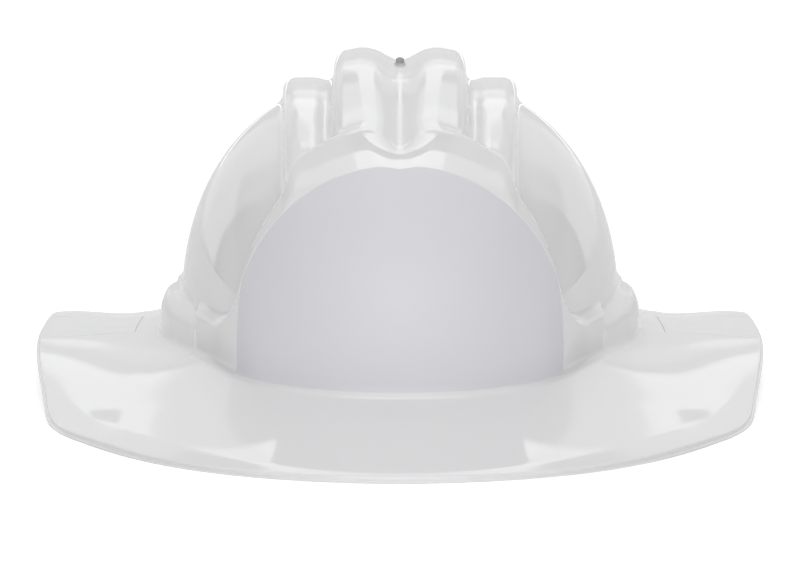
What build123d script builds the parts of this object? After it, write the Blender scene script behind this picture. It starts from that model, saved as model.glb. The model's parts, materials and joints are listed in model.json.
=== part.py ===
from build123d import *
from math import atan2, cos, degrees, hypot, pi, radians, sin
import os

# Full brim hard hat: a moulded shell with a webbing cradle, a headband and a ratchet at the nape.
# The hat faces -Y, its left side is at +X and +Z is up. It rests on its brim at Z = 0, and the
# origin is under the middle of the brim. All sizes are in millimetres.

# Brim: its outline runs in tangent arcs and straights from the front round to the rear.
brim_length = 372.0
brim_wall = 2.5
brim_front_radius = 200.0
brim_front_turn = 17.0
brim_shoulder_radius = 150.0
brim_shoulder_turn = 33.0
brim_shoulder_straight = 14.0
brim_corner_radius = 78.0
brim_corner_turn = 29.0
brim_side_straight = 45.0
brim_flank_radius = 341.0
brim_side_flat = 20.0
brim_rear_corner_radius = 120.0
lip_wall = 1.1
lip_overhang = 1.2

# Brim: its height falls from the crown's root to the edge, most at the front and rear.
root_height = 21.6
root_rise = 3.0
root_half_width = 107.0
root_half_length = 129.0
front_bend_start = 10.0
front_bend_length = 115.0
rear_bend_start = 45.0
rear_bend_length = 100.0
side_slope = 0.06
end_slope = 0.27
middle_slope = 0.06
middle_half_width = 120.0
level_middle_share = 0.6
sheet_columns = 12
sheet_rows = 24
sheet_degrees = (3, 5)
sheet_smoothing = (1, 1, 1)

# Crown: a dome, with a raised belt that makes the prow at the front and a boss at each side.
shell_wall = 3.0
spring_height = 30.0
dome_half_width = 101.3
dome_half_length = 126.0
dome_rise = 111.0
roundness_share = 0.629
belt_half_width = 110.8
belt_half_length = 132.0
belt_rise = 119.0
crest_y = -96.0
crest_bend_height = 95.0
crest_top_y = -81.0
crest_top_height = 132.0
crest_round = 24.0
ledge_height = 45.0
boss_rear_y = 44.0
boss_rear_draft = 9.0
prow_corner = (72.5, -98.5)
prow_crease = (89.5, -66.0)
boss_corner = (100.5, -56.0)

# Ribs: a middle pair with a valley between them, and a lower rib outside each.
middle_rib_half_width = 30.0
middle_rib_peak = 12.6
middle_rib_rise = 123.7
middle_rib_front = 130.0
middle_rib_rear = 116.0
middle_rib_fall_share = 0.19
middle_rib_round = 5.0
valley_rise = 116.3
valley_front = 135.2
valley_rear = 128.0
valley_slope_share = 0.57
side_rib_inner = 33.0
side_rib_front_outer = 48.5
side_rib_rear_outer = 58.0
side_rib_rise = 108.6
side_rib_front = 121.0
side_rib_rear = 104.0
side_rib_round = 4.5
rib_front_cut = (-68.0, 139.5)
rib_front_foot = (-98.0, 111.5)
side_rib_drop = 15.5
upright_share = 0.95

# Openings in the shell: a slot for accessories in each boss, and vents under the middle ribs.
slot_length = 30.0
slot_width = 4.6
slot_depth = 20.0
slot_y = 17.0
slot_inner_wall = 5.2
boss_shoulder = 6.5
vent_length = 18.0
vent_height = 6.5
vent_y = 27.0
vent_middle_height = 142.2

# Crown plug
plug_diameter = 3.8
plug_head_height = 2.6
plug_chamfer = 0.8
plug_stem_diameter = 2.4
plug_stem_length = 4.0
plug_clearance = 0.05

# Brim inserts, which lift out for the arms of ear defenders
insert_inner_x = 123.5
insert_front_y = -2.0
insert_rear_y = 43.0
insert_gap = 0.2
insert_seat = 3.0
insert_seat_wall = 1.2

# Suspension keys and their sockets on the crown's inner wall
key_turn = 33.0
socket_width = 26.0
socket_bottom = 24.0
socket_top = 44.0
socket_roof = 2.2
socket_inner_wall = 1.6
socket_slot_width = 18.6
socket_slot_depth = 3.0
socket_slot_inset = 2.4
socket_sink = 6.5
key_stand = 2.6
key_clearance = 0.3
key_width = 27.0
key_bottom = 8.5
key_body_inset = 2.2
key_body_depth = 5.0
webbing_slot_height = 2.6
webbing_slot_bottom = 18.0
hanger_slot_height = 3.0
hanger_slot_bottom = 12.9

# Webbing
webbing_width = 20.0
webbing_thickness = 1.4
webbing_crown = 112.0
webbing_crown_share = 0.6
webbing_side_share = 0.58
webbing_rise_height = 24.0
webbing_tail_height = 23.2
webbing_gap = 0.4
webbing_crossing_gap = 0.6

# Crown pad
crown_pad_radius = 34.0
crown_pad_thickness = 5.0
crown_pad_edge = 2.0
crown_pad_drop = 4.1

# Headband: half circles at the front and rear, joined by straights and open behind the nape
band_radius = 80.0
band_wall = 1.8
band_front_centre = -20.0
band_rear_centre = 8.0
band_bottom = 13.0
band_height = 26.0
band_end_turn = 30.0
band_hole_diameter = 5.0
band_hole_turn = 9.0
band_holes_each_side = 6
hanger_wall = 2.2
hanger_width = 13.4
hanger_reach = 30.0
hanger_lip = 1.4
hanger_lip_drop = 1.8
keeper_turn = 3.4
keeper_wall = 1.8
keeper_turns = (46.0, 60.0)

# Sweatband and nape pad
pad_thickness = 4.6
pad_side = 2.4
pad_overlap = 2.0
pad_clearance = 0.3
sweatband_turn = 78.0
nape_pad_turn = 34.0
pad_channel_depth = 0.9
pad_channel_turn = 1.5
pad_channel_pitch = 13.0

# Rack straps, which slide round the nape in opposite directions
strap_height = 20.0
strap_wall = 1.2
strap_gap = 0.3
strap_tail_turn = 72.0
strap_tip_turn = 30.0
rack_rail = 1.4
rack_tooth_tip = 6.4
rack_tooth_width = 1.5
rack_slot_turn = 24.0
rack_teeth = 16

# Ratchet
pinion_teeth = 12
tooth_module = 1.2
pinion_tooth_width = 1.4
pinion_tip_radius = 8.0
pinion_root_radius = 5.6
pinion_gap = 0.2
pinion_cover_gap = 0.6
pivot_diameter = 5.0
pivot_length = 1.6
shaft_diameter = 8.0
shaft_clearance = 0.08
shaft_hexagon_radius = 3.8
hexagon_clearance = 0.1
housing_turn = 26.0
housing_height = 34.0
cover_wall = 2.6
cover_boss_diameter = 40.0
cover_boss_reach = 89.5
knob_diameter = 42.0
knob_height = 11.0
knob_wall = 3.0
knob_hub_diameter = 13.0
knob_grips = 18
knob_grip_radius = 2.2
knob_grip_inset = 0.9
knob_gap = 0.4
detent_diameter = 32.0
detent_root_radius = 14.0
detent_tip_radius = 13.0
detent_height = 4.0
detent_teeth = 24
spring_depth = 3.0
spring_arms = 3
spring_arm_radius = 10.0
spring_arm_wall = 1.2
spring_arm_turn = 80.0
spring_arm_steps = 12
spring_clearance = 0.35
knob_screw_diameter = 3.0
knob_screw_length = 8.0
knob_screw_head = 6.0
knob_screw_head_height = 1.6
housing_screw_diameter = 2.5
housing_screw_length = 3.6
housing_screw_head = 4.4
housing_screw_head_height = 1.4
housing_screw_turn = 22.0
screw_clearance = 0.05
screw_head_clearance = 0.2
screw_recess = 1.0
screw_recess_share = 0.25

overrun = 20.0
foot = root_height - brim_wall
half_length = brim_length / 2
band_middle = band_bottom + band_height / 2
os.makedirs("parts", exist_ok=True)


def write(part, name):
    """Label a finished piece and write its STEP file."""
    part.label = name
    export_step(part, f"parts/{name}.step")


def both_sides(part):
    """A piece on the hat's left side and its mirror image on the right side."""
    return part, mirror(part, about=Plane.YZ, mode=Mode.PRIVATE)


# Shell: brim

def smooth(value, start, length):
    """0 before start, 1 after start + length, and a smooth rise between them."""
    share = min(max((value - start) / length, 0), 1)
    return share * share * (3 - 2 * share)


def brim_height(x, y):
    """Height of the brim's upper face: nearly level at the sides, drooping to the front and rear."""
    # inside the crown the sheet is cut away, so there its slope stays gentle
    ratio = max(hypot(x / root_half_width, y / root_half_length), level_middle_share)
    reach = hypot(x, y) * (1 - 1 / ratio)
    bend = smooth(-y, -front_bend_start, front_bend_length) + smooth(y, rear_bend_start, rear_bend_length)
    middle = max(0, 1 - (x / middle_half_width) ** 2)
    slope = side_slope + bend * (end_slope + middle_slope * middle)
    return root_height + root_rise * bend - slope * reach


with BuildSketch() as brim_outline:
    with BuildLine():
        nose = JernArc((0, -half_length), (1, 0), brim_front_radius, brim_front_turn)
        shoulder = JernArc(nose @ 1, nose % 1, brim_shoulder_radius, brim_shoulder_turn)
        run = Line(shoulder @ 1, shoulder @ 1 + (shoulder % 1) * brim_shoulder_straight)
        corner = JernArc(run @ 1, run % 1, brim_corner_radius, brim_corner_turn)
        side = Line(corner @ 1, corner @ 1 + (corner % 1) * brim_side_straight)
        flank_turn = 90 - brim_front_turn - brim_shoulder_turn - brim_corner_turn
        flank = JernArc(side @ 1, side % 1, brim_flank_radius, flank_turn)
        flat = Line(flank @ 1, flank @ 1 + Vector(0, brim_side_flat))
        # the rear corner turns until the tail's arc can meet the middle plane squarely
        centre_x = (flat @ 1).X - brim_rear_corner_radius
        rear_reach = half_length - (flat @ 1).Y - brim_rear_corner_radius
        rear_heading = degrees(2 * atan2(centre_x, rear_reach))
        rear_radius = brim_rear_corner_radius + centre_x / sin(radians(rear_heading))
        rear_corner = JernArc(flat @ 1, (0, 1), brim_rear_corner_radius, rear_heading - 90)
        JernArc(rear_corner @ 1, rear_corner % 1, rear_radius, 180 - rear_heading)
        mirror(about=Plane.YZ)
    make_face()
half_width = (flat @ 0).X

with BuildSketch() as lip_ring:
    add(brim_outline.sketch)
    offset(brim_outline.sketch, amount=-lip_overhang, mode=Mode.SUBTRACT)

columns = [(half_width + overrun) * i / (sheet_columns - 1) for i in range(sheet_columns)]
rows = [(half_length + overrun) * (2 * j / (sheet_rows - 1) - 1) for j in range(sheet_rows)]
left_face = Face.make_surface_from_array_of_points(
    [[(x, y, brim_height(x, y)) for x in columns] for y in rows],
    min_deg=sheet_degrees[0],
    max_deg=sheet_degrees[1],
    smoothing=sheet_smoothing,
)


def brim_layer(top, bottom):
    """The left half of a curved sheet between two depths below the brim's upper face."""
    return Solid.extrude(Pos(0, 0, -top) * left_face, Vector(0, 0, top - bottom))


def insert_region(shrink):
    """Plan of a brim insert, drawn in by shrink on the sides that the brim holds."""
    with BuildSketch() as region:
        with Locations((insert_inner_x + shrink, (insert_front_y + insert_rear_y) / 2)):
            Rectangle(
                half_width - insert_inner_x + overrun,
                insert_rear_y - insert_front_y - 2 * shrink,
                align=(Align.MIN, Align.CENTER),
            )
    return extrude(region.sketch, amount=3 * root_height, mode=Mode.PRIVATE)


with BuildPart() as left_brim:
    add(brim_layer(0, brim_wall))
    extrude(brim_outline.sketch, amount=3 * root_height, both=True, mode=Mode.INTERSECT)

with BuildPart() as left_lip_step:
    add(brim_layer(-overrun, brim_wall - lip_wall))
    extrude(lip_ring.sketch, amount=3 * root_height, both=True, mode=Mode.INTERSECT)

# the upper layer of the insert's place, and the hole through the brim inside its seat
with BuildPart() as insert_recess:
    add(brim_layer(-overrun, brim_wall - insert_seat_wall))
    add(insert_region(0), mode=Mode.INTERSECT)
with BuildPart() as insert_hole:
    add(insert_region(insert_seat))

# the insert is cut away where the brim's seat runs under its rim
with BuildPart() as seat_space:
    add(brim_layer(brim_wall - insert_seat_wall - insert_gap, brim_wall + overrun))
    add(insert_region(insert_seat + insert_gap), mode=Mode.SUBTRACT)

with BuildPart() as insert:
    add(left_brim.part)
    add(insert_region(insert_gap), mode=Mode.INTERSECT)
    add(seat_space.part, mode=Mode.SUBTRACT)
for name, piece in zip(("brim_insert_left", "brim_insert_right"), both_sides(insert.part)):
    write(piece, name)


# Shell: crown

def dome_side(half_length, rise, flip=1):
    """One side of a dome's outline, from its crown down to its spring line."""
    top = spring_height + rise
    return Bezier(
        (0, top),
        (flip * roundness_share * half_length, top),
        (flip * half_length, spring_height + roundness_share * rise),
        (flip * half_length, spring_height),
    )


def oval_dome(half_width, half_length, rise, bottom):
    """A closed dome, oval in plan, on a straight skirt that goes down to bottom."""
    with BuildPart() as form:
        with BuildSketch(Plane.XZ):
            with BuildLine():
                outline = dome_side(half_width, rise)
                Polyline(outline @ 1, (half_width, bottom), (0, bottom), outline @ 0)
            make_face()
        revolve(axis=Axis.Z)
        scale(by=(1, half_length / half_width, 1))
    return form.part


def notch(flip):
    """The corner between a boss's front face and the side wall of the prow."""
    front, crease, aside = Vector(*prow_corner), Vector(*prow_crease), Vector(*boss_corner)
    front += (front - crease).normalized() * overrun
    aside += (aside - crease).normalized() * overrun
    with BuildSketch(Plane.XY.offset(foot - overrun)) as corner_cut:
        with BuildLine():
            corners = (front, crease, aside, Vector(aside.X, front.Y))
            Polyline(*[(flip * point.X, point.Y) for point in corners], close=True)
        make_face()
    return extrude(corner_cut.sketch, amount=crest_top_height + 2 * overrun, mode=Mode.PRIVATE)


# Seen from the side, the prow stands ahead of the crest line and the bosses stay below the ledge.
with BuildSketch(Plane.YZ) as belt_side:
    with BuildLine():
        crest = FilletPolyline(
            (crest_top_y, crest_top_height),
            (crest_y, crest_bend_height),
            (crest_y, ledge_height),
            (boss_rear_y - boss_rear_draft, ledge_height),
            radius=crest_round,
        )
        ahead_y = -belt_half_length - overrun
        Polyline(
            crest @ 1, (boss_rear_y, foot), (ahead_y, foot), (ahead_y, crest_top_height), crest @ 0
        )
    make_face()

with BuildPart() as belt:
    add(oval_dome(belt_half_width, belt_half_length, belt_rise, foot))
    for flip in (1, -1):
        add(notch(flip), mode=Mode.SUBTRACT)
    extrude(belt_side.sketch, amount=2 * belt_half_width, both=True, mode=Mode.INTERSECT)

# inside the prow, a pocket leaves the wall's thickness
with BuildSketch(Plane.YZ) as prow_side:
    with BuildLine():
        pocket_y = crest_y - shell_wall
        Polyline(
            (crest_top_y - shell_wall, crest_top_height - shell_wall),
            (pocket_y, crest_bend_height),
            (pocket_y, foot - overrun),
            (ahead_y, foot - overrun),
            (ahead_y, crest_top_height - shell_wall),
            close=True,
        )
    make_face()

with BuildPart() as prow_pocket:
    add(oval_dome(
        belt_half_width - shell_wall, belt_half_length - shell_wall, belt_rise - shell_wall, foot - overrun
    ))
    extrude(prow_side.sketch, amount=2 * belt_half_width, both=True, mode=Mode.INTERSECT)


def rib_side(front, rear, rise, drop, inset):
    """A rib seen from the side: a dome's outline with its front cut back to the crest."""
    with BuildSketch(Plane.YZ) as outline:
        with BuildLine():
            ahead = dome_side(front - inset, rise - inset, -1)
            behind = dome_side(rear - inset, rise - inset)
            Polyline(ahead @ 1, (inset - front, foot), (rear - inset, foot), behind @ 1)
        make_face()
        with BuildLine():
            high, low = Vector(*rib_front_cut), Vector(*rib_front_foot)
            along = low - high
            across = Vector(-along.Y, along.X).normalized() * inset
            high, low = high + across - Vector(0, drop) - along, low + across - Vector(0, drop)
            clear_y = -front - overrun
            # below its sloping face the rib ends inside the prow
            low_z = foot - overrun
            Polyline(high, low, (low.X, low_z), (clear_y, low_z), (clear_y, high.Y), close=True)
        make_face(mode=Mode.SUBTRACT)
    return outline.sketch


def middle_ribs(inset, rounding):
    """The middle pair of ribs, drawn in by inset, before the valley is cut between them."""
    rise = middle_rib_rise + middle_rib_fall_share * middle_rib_peak
    slant = Vector(1, 0, -middle_rib_fall_share)
    with BuildPart() as ribs:
        extrude(
            rib_side(middle_rib_front, middle_rib_rear, rise, 0, inset),
            amount=(middle_rib_half_width - inset) * slant.length,
            dir=slant,
        )
        if rounding:
            outer = ribs.faces().filter_by(Plane.YZ).sort_by(Axis.X)[-1]
            lowest = spring_height + middle_rib_rise / 2
            fillet(outer.edges().filter_by(lambda edge: edge.center().Z > lowest), rounding)
        mirror(about=Plane.YZ)
    return ribs.part


def valley(drop):
    """The space above the valley's floor and its two slopes."""
    top = spring_height + 2 * middle_rib_rise
    end = valley_front + overrun
    with BuildSketch(Plane.YZ) as above:
        with BuildLine():
            ahead = dome_side(valley_front - drop, valley_rise - drop, -1)
            behind = dome_side(valley_rear - drop, valley_rise - drop)
            Polyline(
                ahead @ 1, (-end, spring_height), (-end, top), (end, top), (end, spring_height), behind @ 1
            )
        make_face()
    slope = Vector(1, 0, valley_slope_share)
    with BuildPart() as space:
        extrude(above.sketch, amount=middle_rib_half_width * slope.length, dir=slope)
        mirror(about=Plane.YZ)
    return space.part


def side_rib(inset, rounding):
    """The lower rib on the left side, tapering towards the front."""
    outer = (
        (side_rib_front_outer - inset, -side_rib_front),
        (side_rib_rear_outer - inset, side_rib_rear),
        (side_rib_rear_outer - inset, side_rib_rear + overrun),
        (side_rib_rear_outer + overrun, side_rib_rear + overrun),
        (side_rib_rear_outer + overrun, -side_rib_front - overrun),
        (side_rib_front_outer - inset, -side_rib_front - overrun),
    )
    side = rib_side(side_rib_front, side_rib_rear, side_rib_rise, side_rib_drop, inset)
    with BuildPart() as rib:
        add(Pos(side_rib_inner + inset, 0, 0) * extrude(
            side, amount=side_rib_rear_outer - side_rib_inner + overrun / 2, dir=(1, 0, 0), mode=Mode.PRIVATE
        ))
        with BuildSketch():
            with BuildLine():
                Polyline(*outer, close=True)
            make_face()
        extrude(amount=2 * crest_top_height, mode=Mode.SUBTRACT)
        if rounding:
            limit = side_rib_front_outer - rounding
            edges = rib.edges().filter_by(
                lambda edge: edge.center().X > limit
                and edge.center().Z > spring_height
                and abs((edge % 0.5).Z) < upright_share
            )
            fillet(edges, rounding)
    return rib.part


def key_point(face_y):
    """Outer face of a key's place, a little inside the crown's wall, at the front (-1) or rear (1)."""
    x, y = sin(radians(key_turn)), face_y * cos(radians(key_turn))
    reach = 1 / hypot(x / (dome_half_width - shell_wall), y / (dome_half_length - shell_wall)) - key_stand
    return Vector(x * reach, y * reach)


def key_plane(face_y):
    """The upright plane through a key: local X points out of the hat, and local Y up."""
    point = key_point(face_y)
    return Plane(origin=point, x_dir=point.normalized(), z_dir=(point.Y, -point.X, 0))


def key_box(face_y, inner, outer, bottom, top, width):
    """A box at a key, between two distances along the key's outward direction."""
    with BuildPart() as box:
        with BuildSketch(key_plane(face_y)):
            with BuildLine():
                Polyline((inner, bottom), (outer, bottom), (outer, top), (inner, top), close=True)
            make_face()
        extrude(amount=width / 2, both=True)
    return box.part


def all_round(pieces):
    """Pieces at the left keys, with their mirror images at the right keys."""
    return [side for piece in pieces for side in both_sides(piece)]


# a slanted shoulder takes the top corner off each boss
with BuildPart() as boss_cut:
    with BuildSketch(Plane.XZ):
        with BuildLine():
            edge_x, edge_z = belt_half_width + overrun, ledge_height + overrun
            Polyline(
                (belt_half_width - boss_shoulder - overrun, edge_z),
                (edge_x, ledge_height - boss_shoulder - overrun),
                (edge_x, edge_z),
                close=True,
            )
        make_face()
    revolve(axis=Axis.Z)
    scale(by=(1, belt_half_length / belt_half_width, 1))
    with BuildSketch(Plane.XY):
        with Locations((0, prow_crease[1])):
            Rectangle(4 * belt_half_width, 2 * belt_half_length, align=(Align.CENTER, Align.MIN))
    extrude(amount=crest_top_height, mode=Mode.INTERSECT)

socket_depth = socket_slot_inset + socket_slot_depth + socket_inner_wall
sockets = all_round([
    key_box(face_y, -socket_depth, socket_sink, socket_bottom, socket_top, socket_width) for face_y in (-1, 1)
])
socket_slots = all_round([
    key_box(
        face_y,
        -socket_slot_inset - socket_slot_depth,
        -socket_slot_inset,
        socket_bottom - overrun,
        socket_top - socket_roof,
        socket_slot_width,
    )
    for face_y in (-1, 1)
])
valley_floor = spring_height + valley_rise
slot_x = dome_half_width - shell_wall + slot_inner_wall

with BuildPart() as socket_blocks:
    add(sockets)
    add(
        oval_dome(
            dome_half_width - shell_wall / 2,
            dome_half_length - shell_wall / 2,
            dome_rise - shell_wall / 2,
            foot,
        ),
        mode=Mode.INTERSECT,
    )

with BuildPart() as hollow:
    add(middle_ribs(shell_wall, 0))
    add(valley(shell_wall), mode=Mode.SUBTRACT)
    add(both_sides(side_rib(shell_wall, 0)))
    add(oval_dome(
        dome_half_width - shell_wall, dome_half_length - shell_wall, dome_rise - shell_wall, foot - overrun
    ))
    add(prow_pocket.part)

with BuildPart() as shell:
    add(belt.part)
    add(boss_cut.part, mode=Mode.SUBTRACT)
    add(middle_ribs(0, middle_rib_round))
    add(valley(0), mode=Mode.SUBTRACT)
    add(both_sides(side_rib(0, side_rib_round)))
    add(oval_dome(dome_half_width, dome_half_length, dome_rise, foot))
    for piece in both_sides(left_brim.part):
        add(piece)
    add(hollow.part, mode=Mode.SUBTRACT)
    add(socket_blocks.part)
    add(socket_slots, mode=Mode.SUBTRACT)
    for piece in (left_lip_step.part, insert_recess.part, insert_hole.part):
        add(both_sides(piece), mode=Mode.SUBTRACT)
    # accessory slots
    slot_middle_x = slot_x + slot_width / 2
    with Locations(*[(flip * slot_middle_x, slot_y, ledge_height - slot_depth) for flip in (1, -1)]):
        Box(
            slot_width,
            slot_length,
            slot_depth + overrun,
            align=(Align.CENTER, Align.CENTER, Align.MIN),
            mode=Mode.SUBTRACT,
        )
    # vents
    with Locations(*[(flip * middle_rib_half_width, vent_y, vent_middle_height) for flip in (1, -1)]):
        Box(3 * shell_wall, vent_length, vent_height, mode=Mode.SUBTRACT)
    # the plug's hole and seat
    with Locations((0, 0, valley_floor)):
        Cylinder(plug_stem_diameter / 2 + plug_clearance, 4 * shell_wall, mode=Mode.SUBTRACT)
        Cylinder(
            plug_diameter / 2 + key_clearance,
            overrun,
            align=(Align.CENTER, Align.CENTER, Align.MIN),
            mode=Mode.SUBTRACT,
        )
    # the front and rear edges of the brim stand on a level floor
    Box(
        2 * brim_length,
        2 * brim_length,
        overrun,
        align=(Align.CENTER, Align.CENTER, Align.MAX),
        mode=Mode.SUBTRACT,
    )
write(shell.part, "shell")

with BuildPart() as crown_plug:
    with Locations((0, 0, valley_floor)):
        Cylinder(plug_diameter / 2, plug_head_height, align=(Align.CENTER, Align.CENTER, Align.MIN))
        Cylinder(plug_stem_diameter / 2, plug_stem_length, align=(Align.CENTER, Align.CENTER, Align.MAX))
    chamfer(crown_plug.edges().filter_by(GeomType.CIRCLE).sort_by(Axis.Z)[-1], plug_chamfer)
write(crown_plug.part, "crown_plug")


# Suspension keys: a blade goes up into the socket, and the body below it holds the webbing

for place, face_y in (("front", -1), ("rear", 1)):
    with BuildPart() as key:
        add(key_box(
            face_y,
            -key_body_inset - key_body_depth,
            -key_body_inset,
            key_bottom,
            socket_bottom - key_clearance,
            key_width,
        ))
        add(key_box(
            face_y,
            key_clearance - socket_slot_inset - socket_slot_depth,
            -key_clearance - socket_slot_inset,
            hanger_slot_bottom + hanger_slot_height,
            socket_top - socket_roof - key_clearance,
            socket_slot_width - 2 * key_clearance,
        ))
        add(
            key_box(
                face_y,
                -key_body_inset - key_body_depth - overrun,
                overrun,
                webbing_slot_bottom,
                webbing_slot_bottom + webbing_slot_height,
                webbing_width + 2 * webbing_gap,
            ),
            mode=Mode.SUBTRACT,
        )
        add(
            key_box(
                face_y,
                -key_body_inset - key_body_depth - overrun,
                overrun,
                hanger_slot_bottom,
                hanger_slot_bottom + hanger_slot_height,
                hanger_width + 2 * key_clearance,
            ),
            mode=Mode.SUBTRACT,
        )
    for side_name, piece in zip(("left", "right"), both_sides(key.part)):
        write(piece, f"{place}_{side_name}_suspension_key")


# Crown straps: webbing that rises from one key, crosses under the crown and goes down to the next

key_reach = key_point(-1).length
half_webbing = webbing_thickness / 2
tail_reach = key_reach - key_body_inset + webbing_gap + half_webbing
rise_reach = key_reach - key_body_inset - key_body_depth - webbing_gap - half_webbing
slot_middle = webbing_slot_bottom + webbing_slot_height / 2


def webbing_curve(flip, top, grow):
    """One half of the webbing's curve over the head, from the crown down to where it is upright."""
    reach = rise_reach + grow
    rise = top + grow - webbing_rise_height
    return Bezier(
        (0, top + grow),
        (flip * webbing_crown_share * reach, top + grow),
        (flip * reach, webbing_rise_height + webbing_side_share * rise),
        (flip * reach, webbing_rise_height),
    )


def crown_strap(turn_sign, top):
    """Webbing in the upright plane through the hat's axis and two keys across from each other."""
    away = Vector(turn_sign * sin(radians(key_turn)), -cos(radians(key_turn)), 0)
    with BuildPart() as strap:
        with BuildSketch(Plane(origin=(0, 0, 0), x_dir=away, z_dir=(away.Y, -away.X, 0))):
            for flip in (1, -1):
                with BuildLine():
                    over = webbing_curve(flip, top, half_webbing)
                    under = webbing_curve(flip, top, -half_webbing)
                    low, high = slot_middle - half_webbing, slot_middle + half_webbing
                    tail_in, tail_out = tail_reach - half_webbing, tail_reach + half_webbing
                    Polyline(
                        over @ 1,
                        (flip * (rise_reach + half_webbing), high),
                        (flip * tail_in, high),
                        (flip * tail_in, webbing_tail_height),
                        (flip * tail_out, webbing_tail_height),
                        (flip * tail_out, low),
                        (flip * (rise_reach - half_webbing), low),
                        under @ 1,
                    )
                    Line(under @ 0, over @ 0)
                make_face()
        extrude(amount=webbing_width / 2, both=True)
    return strap.part


lower_crown = webbing_crown - webbing_thickness - webbing_crossing_gap
write(crown_strap(1, webbing_crown), "upper_crown_strap")
write(crown_strap(-1, lower_crown), "lower_crown_strap")

with BuildPart() as crown_pad:
    with BuildSketch(Plane.XZ):
        with BuildLine():
            # both faces are caps of spheres whose middles lie on the hat's axis
            pad_top = lower_crown - half_webbing - webbing_gap
            turn = atan2(crown_pad_drop, crown_pad_radius)
            upper = JernArc((0, pad_top), (1, 0), crown_pad_radius / sin(2 * turn), -degrees(2 * turn))
            pad_bottom = pad_top - crown_pad_thickness
            lower_drop = crown_pad_drop + crown_pad_edge - crown_pad_thickness
            lower_turn = atan2(lower_drop, crown_pad_radius)
            lower = JernArc(
                (0, pad_bottom), (1, 0), crown_pad_radius / sin(2 * lower_turn), -degrees(2 * lower_turn)
            )
            Line(upper @ 1, lower @ 1)
            Line(upper @ 0, lower @ 0)
        make_face()
    revolve(axis=Axis.Z)
write(crown_pad.part, "crown_pad")


# Headband

def turned(centre_y, turn):
    """An upright plane through an upright axis; turns run from the hat's rear towards its left side."""
    away = Vector(sin(radians(turn)), cos(radians(turn)), 0)
    return Plane(origin=(0, centre_y, 0), x_dir=away, z_dir=(away.Y, -away.X, 0))


def curved_wall(centre_y, inner, outer, bottom, top, start, end):
    """A wall that curves round an upright axis, from one turn to another."""
    with BuildPart() as wall:
        with BuildSketch(turned(centre_y, start)):
            with BuildLine():
                Polyline((inner, bottom), (outer, bottom), (outer, top), (inner, top), close=True)
            make_face()
        revolve(axis=Axis((0, centre_y, 0), (0, 0, -1)), revolution_arc=end - start)
    return wall.part


def band_oval(radius, bottom, top):
    """A solid oval with half circles at the front and rear."""
    with BuildPart() as oval:
        with BuildSketch(Plane.XY.offset(bottom)):
            with Locations((0, (band_front_centre + band_rear_centre) / 2)):
                SlotCenterToCenter(band_rear_centre - band_front_centre, 2 * radius, rotation=90)
        extrude(amount=top - bottom)
    return oval.part


def radial(centre_y, turn, height, reach):
    """A plane that faces outward from an upright axis."""
    away = Vector(sin(radians(turn)), cos(radians(turn)), 0)
    return Plane(origin=Vector(0, centre_y, height) + away * reach, x_dir=(0, 0, 1), z_dir=away)


band_top = band_bottom + band_height
band_outer = band_radius + band_wall
left_strap_inner = band_outer + strap_gap
right_strap_inner = left_strap_inner + strap_wall + strap_gap
window_outer = right_strap_inner + strap_wall + strap_gap
window_bottom = band_middle - strap_height / 2 - strap_gap
window_top = band_middle + strap_height / 2 + strap_gap
hanger_bottom = hanger_slot_bottom + key_clearance
hanger_end = key_clearance - key_body_inset

with BuildPart() as headband:
    add(band_oval(band_outer, band_bottom, band_top))
    for face_y in (-1, 1):
        arm = key_box(
            face_y,
            -hanger_reach,
            hanger_end + hanger_lip,
            hanger_bottom,
            hanger_bottom + hanger_wall,
            hanger_width,
        )
        lip = key_box(
            face_y,
            hanger_end,
            hanger_end + hanger_lip,
            hanger_bottom - hanger_lip_drop,
            hanger_bottom + hanger_wall,
            hanger_width,
        )
        for piece in (*both_sides(arm), *both_sides(lip)):
            add(piece)
    for turn in keeper_turns:
        keeper = curved_wall(
            band_rear_centre,
            band_outer - band_wall / 2,
            window_outer + keeper_wall,
            band_bottom,
            band_top,
            turn - keeper_turn / 2,
            turn + keeper_turn / 2,
        )
        for piece in both_sides(keeper):
            add(piece)
    add(band_oval(band_radius, band_bottom - overrun, band_top + overrun), mode=Mode.SUBTRACT)
    for turn in keeper_turns:
        window = curved_wall(
            band_rear_centre,
            band_outer,
            window_outer,
            window_bottom,
            window_top,
            turn - keeper_turn,
            turn + keeper_turn,
        )
        for piece in both_sides(window):
            add(piece, mode=Mode.SUBTRACT)
    add(
        curved_wall(
            band_rear_centre,
            band_radius - overrun,
            band_outer + overrun / 2,
            band_bottom - overrun,
            band_top + overrun,
            -band_end_turn,
            band_end_turn,
        ),
        mode=Mode.SUBTRACT,
    )
    for i in range(-band_holes_each_side, band_holes_each_side + 1):
        with Locations(radial(band_front_centre, 180 + i * band_hole_turn, band_middle, band_radius).location):
            Cylinder(band_hole_diameter / 2, 4 * band_wall, mode=Mode.SUBTRACT)
write(headband.solids().sort_by(SortBy.VOLUME)[-1], "headband")


# Sweatband and nape pad: crowned cushions with shallow channels across them

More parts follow.
